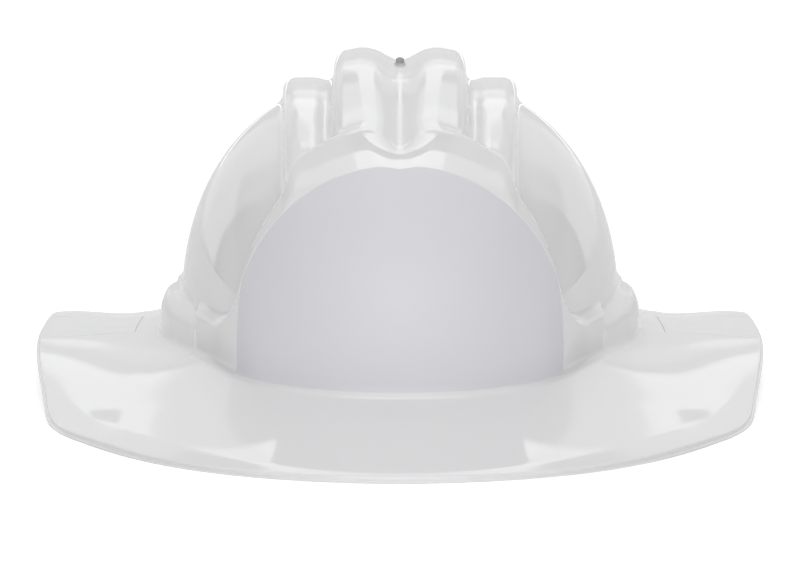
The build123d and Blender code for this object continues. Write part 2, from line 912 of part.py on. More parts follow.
def cushion(centre_y, middle_turn, half_turn):
    """A cushion on the inside of a curved wall, thickest along its middle."""
    outer = band_radius - pad_clearance
    bottom, top = band_bottom - pad_overlap, band_top + pad_overlap
    start = middle_turn - half_turn
    with BuildPart() as pad:
        with BuildSketch(turned(centre_y, start)):
            with BuildLine():
                face = ThreePointArc(
                    (outer - pad_side, bottom), (outer - pad_thickness, band_middle), (outer - pad_side, top)
                )
                Polyline(face @ 1, (outer, top), (outer, bottom), face @ 0)
            make_face()
        revolve(axis=Axis((0, centre_y, 0), (0, 0, -1)), revolution_arc=2 * half_turn)
        count = int(half_turn // pad_channel_pitch)
        for i in range(-count, count + 1):
            turn = middle_turn + i * pad_channel_pitch
            add(
                curved_wall(
                    centre_y,
                    outer - pad_thickness - overrun,
                    outer - pad_thickness + pad_channel_depth,
                    bottom - overrun,
                    top + overrun,
                    turn - pad_channel_turn / 2,
                    turn + pad_channel_turn / 2,
                ),
                mode=Mode.SUBTRACT,
            )
    return pad.part


write(cushion(band_front_centre, 180, sweatband_turn), "sweatband")
write(cushion(band_rear_centre, 0, nape_pad_turn), "nape_pad")


# Rack straps: each has teeth on one edge of its slot, one below the pinion and one above it

tooth_pitch = pi * tooth_module
pitch_radius = pinion_teeth * tooth_module / 2


def rack_strap(inner, tooth_side, long_side):
    """A strap round the nape; tooth_side is -1 for teeth below and long_side is 1 for a tail at the left."""
    outer = inner + strap_wall
    mean = (inner + outer) / 2
    bottom, top = band_middle - strap_height / 2, band_middle + strap_height / 2
    start, end = sorted((-long_side * strap_tip_turn, long_side * strap_tail_turn))
    tooth_turn = degrees(rack_tooth_width / mean)
    root = band_middle + tooth_side * (strap_height / 2 - rack_rail / 2)
    tip = band_middle + tooth_side * rack_tooth_tip
    tooth_bottom, tooth_top = sorted((root, tip))
    with BuildPart() as strap:
        add(curved_wall(band_rear_centre, inner, outer, bottom, top, start, end))
        add(
            curved_wall(
                band_rear_centre,
                inner - overrun,
                outer + overrun,
                bottom + rack_rail,
                top - rack_rail,
                -rack_slot_turn,
                rack_slot_turn,
            ),
            mode=Mode.SUBTRACT,
        )
        for i in range(rack_teeth):
            turn = degrees((i + 1 / 2 - rack_teeth / 2) * tooth_pitch / mean)
            add(curved_wall(
                band_rear_centre,
                inner,
                outer,
                tooth_bottom,
                tooth_top,
                turn - tooth_turn / 2,
                turn + tooth_turn / 2,
            ))
    return strap.part


write(rack_strap(left_strap_inner, -1, 1), "left_rack_strap")
write(rack_strap(right_strap_inner, 1, -1), "right_rack_strap")


# Ratchet: housing and cover, which hold the straps between them

def axle_plane(y):
    """The plane across the knob's axis at y; it faces the rear."""
    return Plane(origin=(0, y, band_middle), x_dir=(1, 0, 0), z_dir=(0, 1, 0))


def disc(radius, start, end):
    """A cylinder on the knob's axis from one y to another."""
    with BuildPart() as round_bar:
        with BuildSketch(axle_plane(start)):
            Circle(radius)
        extrude(amount=end - start)
    return round_bar.part


def hexagon_bar(radius, start, end):
    """A hexagonal bar on the knob's axis from one y to another."""
    with BuildPart() as bar:
        with BuildSketch(axle_plane(start)):
            RegularPolygon(radius, 6)
        extrude(amount=end - start)
    return bar.part


def screw_bars(radius, start, end):
    """Four bars in the places of the housing screws, between two distances from the band's rear centre."""
    rail_middle = (housing_height / 2 + strap_height / 2 + strap_gap) / 2
    bars = []
    for turn in (-housing_screw_turn, housing_screw_turn):
        for flip in (-1, 1):
            with BuildPart() as bar:
                with BuildSketch(radial(band_rear_centre, turn, band_middle + flip * rail_middle, start)):
                    Circle(radius)
                extrude(amount=end - start)
            bars.append(bar.part)
    return bars


housing_bottom = band_middle - housing_height / 2
housing_top = band_middle + housing_height / 2
cover_outer = window_outer + cover_wall
boss_end = band_rear_centre + cover_boss_reach
pinion_start = band_rear_centre + band_outer + pinion_gap
pinion_end = band_rear_centre + window_outer - pinion_cover_gap
head_reach = cover_outer - housing_screw_head_height

with BuildPart() as ratchet_housing:
    add(curved_wall(
        band_rear_centre, band_radius, window_outer, housing_bottom, housing_top, -housing_turn, housing_turn
    ))
    add(
        curved_wall(
            band_rear_centre,
            band_outer,
            window_outer + overrun,
            window_bottom,
            window_top,
            -housing_turn - overrun / 2,
            housing_turn + overrun / 2,
        ),
        mode=Mode.SUBTRACT,
    )
    add(disc(pivot_diameter / 2 + shaft_clearance, pinion_start - overrun, pinion_start), mode=Mode.SUBTRACT)
    add(
        screw_bars(
            housing_screw_diameter / 2 + screw_clearance,
            head_reach - 2 * housing_screw_length,
            head_reach,
        ),
        mode=Mode.SUBTRACT,
    )
write(ratchet_housing.part, "ratchet_housing")

with BuildPart() as detent_ring:
    with BuildSketch(axle_plane(boss_end)):
        Circle(detent_diameter / 2)
        with BuildLine():
            corners = []
            for i in range(2 * detent_teeth):
                reach = detent_root_radius if i % 2 == 0 else detent_tip_radius
                turn = radians(180 * i / detent_teeth)
                corners.append((reach * cos(turn), reach * sin(turn)))
            Polyline(*corners, close=True)
        make_face(mode=Mode.SUBTRACT)
    extrude(amount=detent_height)

with BuildPart() as ratchet_cover:
    add(disc(cover_boss_diameter / 2, band_rear_centre + band_radius, boss_end))
    add(curved_wall(
        band_rear_centre, band_radius, cover_outer, housing_bottom, housing_top, -housing_turn, housing_turn
    ))
    with Locations((0, band_rear_centre, band_middle)):
        Cylinder(window_outer, 2 * housing_height, mode=Mode.SUBTRACT)
    add(
        disc(shaft_diameter / 2 + shaft_clearance, band_rear_centre + band_radius, boss_end + detent_height),
        mode=Mode.SUBTRACT,
    )
    add(detent_ring.part)
    add(
        screw_bars(housing_screw_diameter / 2 + screw_clearance, window_outer - cover_wall, cover_outer),
        mode=Mode.SUBTRACT,
    )
    add(
        screw_bars(housing_screw_head / 2 + screw_head_clearance, head_reach, cover_outer + overrun),
        mode=Mode.SUBTRACT,
    )
write(ratchet_cover.part, "ratchet_cover")

screws = []
for head, shank, recess in zip(
    screw_bars(housing_screw_head / 2, head_reach, cover_outer),
    screw_bars(housing_screw_diameter / 2, head_reach - housing_screw_length, head_reach),
    screw_bars(screw_recess_share * housing_screw_head, cover_outer - screw_recess, cover_outer + overrun),
):
    with BuildPart() as housing_screw:
        add(head)
        add(shank)
        add(recess, mode=Mode.SUBTRACT)
    screws.append(housing_screw.part.solids()[0])
write(Compound(children=screws), "housing_screws")


# Ratchet: pinion, detent spring, knob and the screw that holds them together

knob_start = boss_end + knob_gap
knob_end = knob_start + knob_height
knob_inner = knob_end - knob_wall
spring_start = knob_start
spring_end = spring_start + spring_depth
hub_start = spring_end + knob_gap
screw_seat = knob_end - knob_screw_head_height - screw_head_clearance
shaft_end = screw_seat - knob_gap - knob_screw_head_height / 2

with BuildPart() as drive_pinion:
    with BuildSketch(axle_plane(pinion_start)):
        Circle(pinion_root_radius)
        with PolarLocations(0, pinion_teeth):
            Rectangle(pinion_tip_radius, pinion_tooth_width, align=(Align.MIN, Align.CENTER))
    extrude(amount=pinion_end - pinion_start)
    add(disc(pivot_diameter / 2, pinion_start - pivot_length, pinion_start))
    add(disc(shaft_diameter / 2, pinion_end, boss_end))
    add(hexagon_bar(shaft_hexagon_radius, boss_end, shaft_end))
    add(
        disc(knob_screw_diameter / 2 + screw_clearance, screw_seat - knob_screw_length - knob_gap, shaft_end),
        mode=Mode.SUBTRACT,
    )
write(drive_pinion.part, "drive_pinion")

half_arm = spring_arm_wall / 2


def spoke(turn, near, far):
    """Corners of a straight bar that points away from the knob's axis."""
    along, across = (cos(turn), sin(turn)), (-sin(turn), cos(turn))
    return [
        (reach * along[0] + side * across[0], reach * along[1] + side * across[1])
        for reach, side in ((near, -half_arm), (far, -half_arm), (far, half_arm), (near, half_arm))
    ]


def arm_corners(start_turn, end_turn):
    """Corners of a curved arm, out along its outer side and back along its inner side."""
    turns = [start_turn + (end_turn - start_turn) * i / spring_arm_steps for i in range(spring_arm_steps + 1)]
    outer_radius, inner_radius = spring_arm_radius + half_arm, spring_arm_radius - half_arm
    outer = [(outer_radius * cos(turn), outer_radius * sin(turn)) for turn in turns]
    inner = [(inner_radius * cos(turn), inner_radius * sin(turn)) for turn in turns]
    return outer + inner[::-1]


with BuildPart() as detent_spring:
    with BuildSketch(axle_plane(spring_start)):
        Circle(knob_hub_diameter / 2)
        for i in range(spring_arms):
            start_turn = 2 * pi * i / spring_arms
            end_turn = start_turn + radians(spring_arm_turn)
            nose_reach = detent_tip_radius - spring_clearance
            for corners in (
                spoke(start_turn, shaft_hexagon_radius, spring_arm_radius + half_arm),
                arm_corners(start_turn, end_turn),
                spoke(end_turn, spring_arm_radius - half_arm, nose_reach),
            ):
                with BuildLine():
                    Polyline(*corners, close=True)
                make_face()
    extrude(amount=spring_depth)
    add(hexagon_bar(shaft_hexagon_radius + hexagon_clearance, boss_end, knob_end), mode=Mode.SUBTRACT)
write(detent_spring.part, "detent_spring")

with BuildPart() as ratchet_knob:
    with BuildSketch(axle_plane(knob_start)):
        Circle(knob_diameter / 2)
        with PolarLocations(knob_diameter / 2 + knob_grip_inset, knob_grips):
            Circle(knob_grip_radius, mode=Mode.SUBTRACT)
    extrude(amount=knob_height)
    add(disc(knob_diameter / 2 - knob_wall, knob_start - overrun, knob_inner), mode=Mode.SUBTRACT)
    add(disc(knob_hub_diameter / 2, hub_start, knob_inner))
    add(
        hexagon_bar(shaft_hexagon_radius + hexagon_clearance, hub_start, shaft_end + knob_gap),
        mode=Mode.SUBTRACT,
    )
    add(disc(knob_screw_diameter / 2 + screw_clearance, hub_start, knob_end), mode=Mode.SUBTRACT)
    add(disc(knob_screw_head / 2 + screw_head_clearance, screw_seat, knob_end), mode=Mode.SUBTRACT)
write(ratchet_knob.part, "ratchet_knob")

with BuildPart() as knob_screw:
    add(disc(knob_screw_head / 2, screw_seat, screw_seat + knob_screw_head_height))
    add(disc(knob_screw_diameter / 2, screw_seat - knob_screw_length, screw_seat))
    recess_start = screw_seat + knob_screw_head_height - screw_recess
    add(hexagon_bar(screw_recess_share * knob_screw_head, recess_start, knob_end), mode=Mode.SUBTRACT)
write(knob_screw.part, "knob_screw")
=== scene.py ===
import json
import math
import bmesh
import bpy
import numpy as np
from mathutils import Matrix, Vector


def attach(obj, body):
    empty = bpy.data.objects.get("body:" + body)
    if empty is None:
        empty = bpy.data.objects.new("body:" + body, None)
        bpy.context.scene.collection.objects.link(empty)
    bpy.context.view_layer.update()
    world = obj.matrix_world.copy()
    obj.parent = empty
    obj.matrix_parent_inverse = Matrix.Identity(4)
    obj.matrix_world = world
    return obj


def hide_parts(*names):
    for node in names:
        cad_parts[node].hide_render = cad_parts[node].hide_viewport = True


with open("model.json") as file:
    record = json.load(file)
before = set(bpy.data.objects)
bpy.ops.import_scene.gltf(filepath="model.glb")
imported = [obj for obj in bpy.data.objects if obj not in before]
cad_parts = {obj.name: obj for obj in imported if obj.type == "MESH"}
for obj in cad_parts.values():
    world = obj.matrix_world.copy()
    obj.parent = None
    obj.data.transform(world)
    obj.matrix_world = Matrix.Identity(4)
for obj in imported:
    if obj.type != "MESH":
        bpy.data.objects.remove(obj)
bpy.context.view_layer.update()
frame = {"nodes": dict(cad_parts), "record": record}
nodes = frame["nodes"]

# Camera
# The photograph looks at the hat's front from a little above, through a long lens that stands on the
# middle plane.
MM = 0.001
elevation = math.radians(12.0)
distance = 1.3
focal_pixels = 2795.0
image_width = 800.0
target = Vector((0.0, 0.0, 0.04228))
camera_data = bpy.data.cameras.new("camera")
camera_data.sensor_width = 36.0
camera_data.lens = focal_pixels * 36.0 / image_width
camera = bpy.data.objects.new("camera", camera_data)
bpy.context.scene.collection.objects.link(camera)
camera.location = target + Vector((0, -distance * math.cos(elevation), distance * math.sin(elevation)))
camera.rotation_euler = (math.radians(90) - elevation, 0, 0)
bpy.context.scene.camera = camera
bpy.context.scene.view_settings.view_transform = "Standard"


# Materials
# The shell is moulded in glossy white plastic and the suspension in black. The tapes and cushions are
# cloth, and the screws are steel. Every surface is procedural and follows object coordinates.
def linear(code):
    """An sRGB hex colour as linear red, green, blue and alpha."""
    parts = [int(code[i:i + 2], 16) / 255 for i in (0, 2, 4)]
    return tuple(c / 12.92 if c <= 0.04045 else ((c + 0.055) / 1.055) ** 2.4 for c in parts) + (1.0,)


def add_node(tree, kind, **inputs):
    """A new shader node with the given values on its inputs."""
    node = tree.nodes.new(kind)
    for name, value in inputs.items():
        node.inputs[name.replace("_", " ")].default_value = value
    return node


def plastic(name, code, roughness, grain, depth, coat=0.0):
    """Moulded plastic with a faint surface grain."""
    material = bpy.data.materials.new(name)
    material.use_nodes = True
    tree = material.node_tree
    shader = tree.nodes["Principled BSDF"]
    shader.inputs["Base Color"].default_value = linear(code)
    shader.inputs["Roughness"].default_value = roughness
    shader.inputs["Coat Weight"].default_value = coat
    shader.inputs["Coat Roughness"].default_value = 0.03
    place = tree.nodes.new("ShaderNodeTexCoord")
    noise = add_node(tree, "ShaderNodeTexNoise", Scale=grain, Detail=2.0)
    bump = add_node(tree, "ShaderNodeBump", Strength=depth, Distance=0.0002)
    tree.links.new(place.outputs["Object"], noise.inputs["Vector"])
    tree.links.new(noise.outputs["Fac"], bump.inputs["Height"])
    tree.links.new(bump.outputs["Normal"], shader.inputs["Normal"])
    return material


def cloth(name, code, weave):
    """Woven or knitted cloth with fine crossing threads."""
    material = bpy.data.materials.new(name)
    material.use_nodes = True
    tree = material.node_tree
    shader = tree.nodes["Principled BSDF"]
    shader.inputs["Roughness"].default_value = 0.9
    shader.inputs["Sheen Weight"].default_value = 0.3
    place = tree.nodes.new("ShaderNodeTexCoord")
    noise = add_node(tree, "ShaderNodeTexNoise", Scale=weave, Detail=3.0)
    tint = tree.nodes.new("ShaderNodeMix")
    tint.data_type = "RGBA"
    tint.inputs["A"].default_value = linear(code)
    tint.inputs["B"].default_value = tuple(0.6 * c for c in linear(code)[:3]) + (1.0,)
    bump = add_node(tree, "ShaderNodeBump", Strength=0.5, Distance=0.0003)
    tree.links.new(place.outputs["Object"], noise.inputs["Vector"])
    tree.links.new(noise.outputs["Fac"], tint.inputs["Factor"])
    tree.links.new(tint.outputs["Result"], shader.inputs["Base Color"])
    tree.links.new(noise.outputs["Fac"], bump.inputs["Height"])
    tree.links.new(bump.outputs["Normal"], shader.inputs["Normal"])
    return material


shell_white = "EDEDEE"
panel_white = "E1E0E5"
gloss_roughness = 0.05
satin_roughness = 0.42
gloss_coat = 0.5
white_plastic = plastic("white_plastic", shell_white, gloss_roughness, 900.0, 0.004, coat=gloss_coat)
grey_plastic = plastic("grey_plastic", "A9AAAB", 0.45, 900.0, 0.1)
black_plastic = plastic("black_plastic", "212124", 0.42, 700.0, 0.15)
pale_plastic = plastic("pale_plastic", "CFCFC8", 0.4, 700.0, 0.1)
webbing_cloth = cloth("webbing_cloth", "3A3D42", 1600.0)
pad_cloth = cloth("pad_cloth", "2A2A2D", 1100.0)
screw_steel = plastic("screw_steel", "A0A0A4", 0.3, 1500.0, 0.1)
screw_steel.node_tree.nodes["Principled BSDF"].inputs["Metallic"].default_value = 1.0

# The front panel is a satin, slightly cooler area with a fine raised border. It lies ahead of one
# upright plane and above the brim's root, so two limits on the surface's own coordinates draw it.
tree = white_plastic.node_tree
shader = tree.nodes["Principled BSDF"]
place = tree.nodes["Texture Coordinate"]
split = tree.nodes.new("ShaderNodeSeparateXYZ")
tree.links.new(place.outputs["Object"], split.inputs["Vector"])
on_panel = tree.nodes.new("ShaderNodeMath")
on_panel.operation = "MULTIPLY"
for index, (axis, low, high) in enumerate((("Y", -0.0992, -0.0998), ("Z", 0.0240, 0.0246))):
    limit = add_node(tree, "ShaderNodeMapRange", From_Min=low, From_Max=high)
    limit.interpolation_type = "SMOOTHSTEP"
    tree.links.new(split.outputs[axis], limit.inputs["Value"])
    tree.links.new(limit.outputs["Result"], on_panel.inputs[index])
tint = tree.nodes.new("ShaderNodeMix")
tint.data_type = "RGBA"
tint.inputs["A"].default_value = linear(shell_white)
tint.inputs["B"].default_value = linear(panel_white)
tree.links.new(on_panel.outputs["Value"], tint.inputs["Factor"])
tree.links.new(tint.outputs["Result"], shader.inputs["Base Color"])
for socket_name, gloss, satin in (
    ("Roughness", gloss_roughness, satin_roughness),
    ("Coat Weight", gloss_coat, 0.0),
):
    change = add_node(tree, "ShaderNodeMapRange", To_Min=gloss, To_Max=satin)
    tree.links.new(on_panel.outputs["Value"], change.inputs["Value"])
    tree.links.new(change.outputs["Result"], shader.inputs[socket_name])
border = add_node(tree, "ShaderNodeBump", Strength=0.6, Distance=0.0004)
border.invert = True
tree.links.new(on_panel.outputs["Value"], border.inputs["Height"])
tree.links.new(tree.nodes["Bump"].outputs["Normal"], border.inputs["Normal"])
tree.links.new(border.outputs["Normal"], shader.inputs["Normal"])
tree.links.new(border.outputs["Normal"], shader.inputs["Coat Normal"])

slot_materials = {
    "shell_plastic": white_plastic,
    "plug_plastic": grey_plastic,
    "suspension_plastic": black_plastic,
    "spring_plastic": pale_plastic,
    "webbing": webbing_cloth,
    "padding": pad_cloth,
    "screw_steel": screw_steel,
}
for subpart in frame["record"]["subparts"]:
    node_object = nodes[subpart["node"]]
    for material_slot in node_object.material_slots:
        material_slot.material = slot_materials[subpart["material_slot"]]


# Crown
# One injection moulding in glossy white plastic: a dome with four ribs, a raised front panel and
# a boss over each ear. Its edges are rounded by the mould, so the forms below blend with radii.
roundness = 2.26
skirt_height = 30.0
wall = 3.0
belt_half_width = 110.8
belt_half_length = 132.0
panel_side_x = 89.5
panel_side_y = -66.0
boss_top = 45.0
seam = 1.16


def new_piece(name, points, faces, material, body="hat", smooth=True):
    """A mesh piece from points in millimetres, riding on a body."""
    mesh = bpy.data.meshes.new(name)
    mesh.from_pydata((np.asarray(points) * MM).tolist(), [], [list(map(int, face)) for face in faces])
    mesh.materials.append(material)
    mesh.polygons.foreach_set("use_smooth", [smooth] * len(mesh.polygons))
    mesh.update()
    piece = bpy.data.objects.new(name, mesh)
    bpy.context.scene.collection.objects.link(piece)
    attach(piece, body)
    return piece


def bulge(x, y, z, half_width, front, rear, rise):
    """Distance from a rounded dome on an upright skirt, negative inside."""
    half_length = np.where(y < 0, front, rear)
    height = np.maximum(z - skirt_height, 0)
    around = np.hypot(x / half_width, y / half_length) ** roundness
    size = (around + (height / rise) ** roundness) ** (1 / roundness)
    return np.sqrt(x * x + y * y + height * height) * (1 - 1 / np.maximum(size, 0.05))


def joined(a, b, radius):
    """Both forms, with a hollow fillet where they meet."""
    corner = np.hypot(np.maximum(radius - a, 0), np.maximum(radius - b, 0))
    return np.maximum(radius, np.minimum(a, b)) - corner


def shared(a, b, radius):
    """The space inside both forms, with a rounded edge."""
    corner = np.hypot(np.maximum(radius + a, 0), np.maximum(radius + b, 0))
    return np.minimum(-radius, np.maximum(a, b)) + corner


def smooth_step(value, start, length):
    """Rises smoothly from 0 at the start to 1 after the length."""
    share = np.clip((value - start) / length, 0, 1)
    return share * share * (3 - 2 * share)


def root_ratio(x, y):
    """How far out a point lies, as a multiple of the oval on which the brim's root runs."""
    return np.hypot(x / 107.0, y / 129.0)


def brim_top(x, y):
    """Height of the brim's upper face."""
    reach = np.hypot(x, y) * (1 - 1 / np.maximum(root_ratio(x, y), 0.05))
    front_bend = smooth_step(-y, -10.0, 115.0)
    bend = front_bend + smooth_step(y, 45.0, 100.0)
    middle = np.maximum(0, 1 - (x / 120.0) ** 2)
    sag = 0.11 * bend * reach * np.maximum(0, 1 - reach / 54.0)
    behind = 0.12 * smooth_step(y, 0.0, 60.0) * (1 - smooth_step(np.abs(x), 120.0, 45.0)) * reach
    height = 21.6 + 3.0 * front_bend - (0.06 + bend * (0.27 + 0.06 * middle)) * reach - sag
    # the rear doesn't sink below the table that the hat rests on
    return np.maximum(height - behind, np.minimum(height, 2.7))


def crown_forms(x, y, z):
    """The crown's outside without the ear bosses, and the ear bosses."""
    # the small amount rounds every form where its two halves meet on the middle plane
    x = np.sqrt(x * x + 0.25)
    dome = bulge(x, y, z, 101.3, 126.0, 126.0, 111.0)
    belt = bulge(x, y, z, belt_half_width, belt_half_length, belt_half_length, 119.0)

    # the raised front panel, with its crest over the top and its sides
    crest_y = y + 96.0 - 6.0 * (1 - smooth_step(x, 42.0, 10.0))
    ahead = joined(crest_y, (crest_y - (z - 95.0) * 0.4054) / 1.079, 10.0)
    prow_side = (x - panel_side_x) * 0.886 - (y - panel_side_y) * 0.463
    low_side = np.maximum(z - boss_top, ((y - 35.0) * 26.0 + (z - boss_top) * 9.0) / 27.5)
    prow = shared(belt, joined(ahead, shared(low_side, y + 60.0, 2.0), 18.0), 4.0)
    prow = shared(prow, prow_side, 5.0)

    # the ear bosses, with a flat front face and a bevelled shoulder
    boss_front = (x - 91.4) * 0.911 - (y + 61.0) * 0.411
    scaled = np.hypot(x, y * belt_half_width / belt_half_length)
    shoulder = (shared(scaled - belt_half_width, boss_front, 4.0) + z - boss_top + 6.5) / 1.414
    boss = shared(shared(belt, shoulder, 3.5), low_side, 3.0)
    boss = shared(shared(boss, boss_front, 4.0), -(y - panel_side_y), 1.0)

    # the ribs' fronts run out smoothly onto the front panel's crest
    zero = np.zeros_like(x)
    rib_front = -y * 0.5664 + z * 0.8241 - 152.85 + 0.00487 * x * x
    rib_front = rib_front + 0.012 * np.maximum(0, -85.0 - y) ** 2
    middle = shared(x - 30.0, bulge(zero, y, z + 0.19 * x, 1.0, 130.0, 116.0, 126.1), 5.0)
    middle = shared(middle, rib_front, 10.0)
    middle = shared(middle, -(y + 98.0), 1.0)
    outer_x = 48.5 + 9.5 * (y + 121.0) / 225.0
    side = shared(33.0 - x, x - outer_x, 4.0)
    side = shared(side, bulge(zero, y, z, 1.0, 128.0, 104.0, 108.6), 6.5)
    side = shared(side, rib_front, 6.0)
    side = shared(side, -(y + 98.0), 1.0)
    near_front = smooth_step(-y, 55.0, 30.0)
    crown = joined(prow, middle, 5.0 - 3.0 * near_front)
    crown = joined(crown, joined(dome, side, 3.0), 4.0 - 1.6 * near_front)

    # the valley between the middle ribs
    rounded_x = np.sqrt(x * x + 4.0) - 2.0
    sunk = 4.6 * smooth_step(y, -97.0, 15.0) * (1 - smooth_step(y, -82.0, 50.0))
    valley = bulge(zero, y, z + sunk - 0.57 * rounded_x, 1.0, 135.2, 128.0, 116.3) * 0.87
    return shared(crown, valley, 4.0), boss


def block(x, y, z, centre, size, radius):
    """Distance from a rounded box."""
    gap = [np.abs(v - c) - s / 2 + radius for v, c, s in zip((x, y, z), centre, size)]
    outside = np.sqrt(sum(np.maximum(g, 0) ** 2 for g in gap))
    return outside + np.minimum(np.maximum(np.maximum(gap[0], gap[1]), gap[2]), 0) - radius


def shell_field(x, y, z):
    """Distance from the shell's crown and the root of its brim, negative inside the plastic."""
    crown, boss = crown_forms(x, y, z)
    boss_fillet = 0.5 + 2.5 * smooth_step(y, panel_side_y, 20.0)
    solid = np.maximum(joined(crown, boss, boss_fillet), 19.1 - z)

    # the brim's root ends at the seam, just inside the separate sheet that goes on outward
    top = brim_top(x, y)
    ratio = root_ratio(x, y)
    sink = 0.01 - 0.003 * np.maximum((ratio - 1.1) * 110.0, 0) ** 2
    ring = np.maximum((np.abs(z - top + 1.25) - 1.25 - sink) * 0.96, (ratio - seam) * 110.0)
    field = joined(solid, ring, 3.5)

    # the hollow for the head, the accessory slots and the two vents
    field = np.maximum(field, -(crown + wall + 1.4 * smooth_step(z, 22.0, 12.0)))
    x = np.abs(x)
    slot = block(x, y, z, (105.8, 17.0, 45.0), (4.6, 30.0, 40.0), 0.6)
    vent = block(x, y, z, (30.0, 27.0, 142.2), (9.0, 18.0, 6.5), 0.8)
    return np.maximum(np.maximum(field, -slot), -vent)


def contour(field, low, high, step):
    """A quad mesh on a field's zero surface, with its normals."""
    axes = [np.arange(a, b + step, step) for a, b in zip(low, high)]
    grid = np.meshgrid(*axes, indexing="ij")
    values = field(*grid)
    size = tuple(n - 1 for n in values.shape)
    corner = {}
    for offset in np.ndindex(2, 2, 2):
        corner[offset] = values[tuple(slice(o, o + n) for o, n in zip(offset, size))]
    inside = sum((corner[o] < 0).astype(int) for o in corner)
    active = np.argwhere((inside > 0) & (inside < 8))
    index = -np.ones(size, dtype=int)
    index[tuple(active.T)] = np.arange(len(active))

    # each point is the mean of the crossings on its cell's edges
    total = np.zeros((len(active), 3))
    count = np.zeros(len(active))
    for axis in range(3):
        for offset in np.ndindex(2, 2, 2):
            if offset[axis]:
                continue
            other = tuple(1 if i == axis else o for i, o in enumerate(offset))
            a = corner[offset][tuple(active.T)]
            b = corner[other][tuple(active.T)]
            crossing = (a < 0) != (b < 0)
            share = np.where(crossing, a / np.where(crossing, a - b, 1), 0)
            point = np.tile(np.array(offset, dtype=float), (len(active), 1))
            point[:, axis] = share
            total += np.where(crossing[:, None], point, 0)
            count += crossing
    points = np.array(low) + (active + total / count[:, None]) * step

    # each grid edge that crosses the surface gives one face from its four cells
    faces = []
    for axis in range(3):
        u, v = (axis + 1) % 3, (axis + 2) % 3
        near = [slice(None)] * 3
        far = [slice(None)] * 3
        near[axis], far[axis] = slice(None, -1), slice(1, None)
        a, b = values[tuple(near)] < 0, values[tuple(far)] < 0
        for flag, order in (((a & ~b), 1), ((~a & b), -1)):
            cells = np.argwhere(flag)
            cells = cells[(cells[:, u] > 0) & (cells[:, v] > 0)]
            cells = cells[(cells[:, u] < size[u]) & (cells[:, v] < size[v])]
            ring = []
            for du, dv in ((1, 1), (0, 1), (0, 0), (1, 0)):
                place = cells.copy()
                place[:, u] -= du
                place[:, v] -= dv
                ring.append(index[tuple(place.T)])
            faces.append(np.stack(ring[::order], axis=1))
    faces = np.concatenate(faces)
    faces = faces[(faces >= 0).all(axis=1)]
    for _ in range(4):
        points, normals = settle(field, points, 0.12 * step)

    # at sharp edges the field's own direction is unsure, so the faces' direction is used there
    a, b, c, d = (points[faces[:, i]] for i in range(4))
    across = np.cross(c - a, d - b)
    across /= np.maximum(np.linalg.norm(across, axis=1), 1e-9)[:, None]
    plain = np.zeros_like(points)
    for i in range(4):
        np.add.at(plain, faces[:, i], across)
    plain /= np.maximum(np.linalg.norm(plain, axis=1), 1e-9)[:, None]
    agree = (plain * normals).sum(axis=1)
    return points, faces, np.where((agree < 0.8)[:, None], plain, normals)


def settle(field, points, limit):
    """Moves points onto a field's zero surface and returns their outward directions."""
    x, y, z = points.T
    e = 0.05
    slope = np.stack([
        field(x + e, y, z) - field(x - e, y, z),
        field(x, y + e, z) - field(x, y - e, z),
        field(x, y, z + e) - field(x, y, z - e),
    ], axis=1) / (2 * e)
    length = np.maximum(np.linalg.norm(slope, axis=1), 0.2)
    move = np.clip(field(x, y, z) / length, -limit, limit)
    return points - slope / length[:, None] * move[:, None], slope / length[:, None]


grid_step = 1.5
crown_points, crown_faces, crown_normals = contour(shell_field, (-126, -150, 10), (126, 150, 157), grid_step)
crown = new_piece("shell_crown", crown_points, crown_faces, white_plastic)
crown.data.normals_split_custom_set_from_vertices(crown_normals.tolist())
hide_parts("shell")


# Brim
# The same moulding runs out into a thin sheet that droops to the front and rear. A step along its
# edge leaves a narrow lip. The sheet is modelled in loops from the crown out to the edge and back.
def brim_outline():
    """Points on the brim's edge, from its front round its left side to its rear."""
    half = 186.0
    tail_radius = 120.0
    # each move is a radius with an angle in degrees, or 0 with a straight length
    moves = [(200.0, 17.0), (150.0, 33.0), (0, 14.0), (78.0, 29.0), (0, 45.0), (341.0, 11.0), (0, 20.0)]

    def walk(place, heading, moves):
        points = []
        for radius, amount in moves:
            length = math.radians(amount) * radius if radius else amount
            steps = max(2, int(length / 0.75))
            for i in range(steps):
                turn = (math.radians(amount) / steps) if radius else 0
                chord = length / steps
                place = place + chord * np.array([math.cos(heading + turn / 2), math.sin(heading + turn / 2)])
                heading += turn
                points.append(place)
        return place, heading, points

    place, heading, points = walk(np.array([0.0, -half]), 0.0, moves)
    centre_x = place[0] - tail_radius
    rear_heading = 2 * math.atan2(centre_x, half - place[1] - tail_radius)
    rear_radius = tail_radius + centre_x / math.sin(rear_heading)
    rear_degrees = math.degrees(rear_heading)
    rear = [(tail_radius, rear_degrees - 90.0), (rear_radius, 180.0 - rear_degrees)]
    _, _, more = walk(place, heading, rear)
    points = [np.array([0.0, -half])] + points + more
    points[-1] = np.array([0.0, half])
    return np.array(points)


half_edge = brim_outline()
lengths = np.concatenate([[0], np.cumsum(np.linalg.norm(np.diff(half_edge, axis=0), axis=1))])
columns = 300
marks = np.linspace(0, lengths[-1], columns + 1)
left_edge = np.stack([np.interp(marks, lengths, half_edge[:, i]) for i in (0, 1)], axis=1)
edge = np.concatenate([left_edge, left_edge[-2:0:-1] * (-1, 1)])

